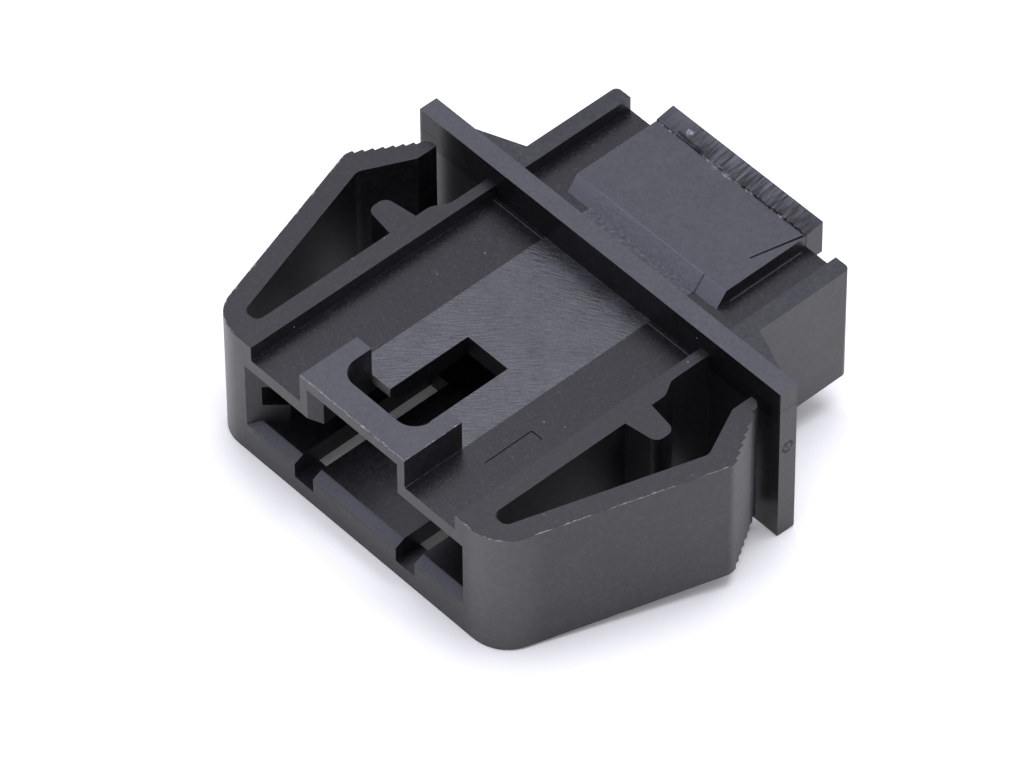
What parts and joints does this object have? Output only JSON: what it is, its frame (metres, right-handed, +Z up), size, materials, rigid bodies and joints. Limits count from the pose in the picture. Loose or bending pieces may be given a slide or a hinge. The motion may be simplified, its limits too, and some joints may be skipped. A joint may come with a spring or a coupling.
{
  "type": "wire to board connector housing",
  "caption": "Moulded plastic connector housing with a flat mating mouth, raised latch bridge, stepped snap arms, panel flange and wire-side block.",
  "frame": {"origin": "middle of the panel cut-out, in the plane of the flange face that sits against the panel", "axes": "+X across the housing from arm to arm, +Y from the mating mouth to the wire side, +Z up through the latch bridge"},
  "size_m": [0.03, 0.028, 0.011],
  "materials": {
    "housing_plastic": "fine spark-eroded satin"
  },
  "bodies": {
    "root": {"housing": "housing_plastic"}
  },
  "joints": []
}
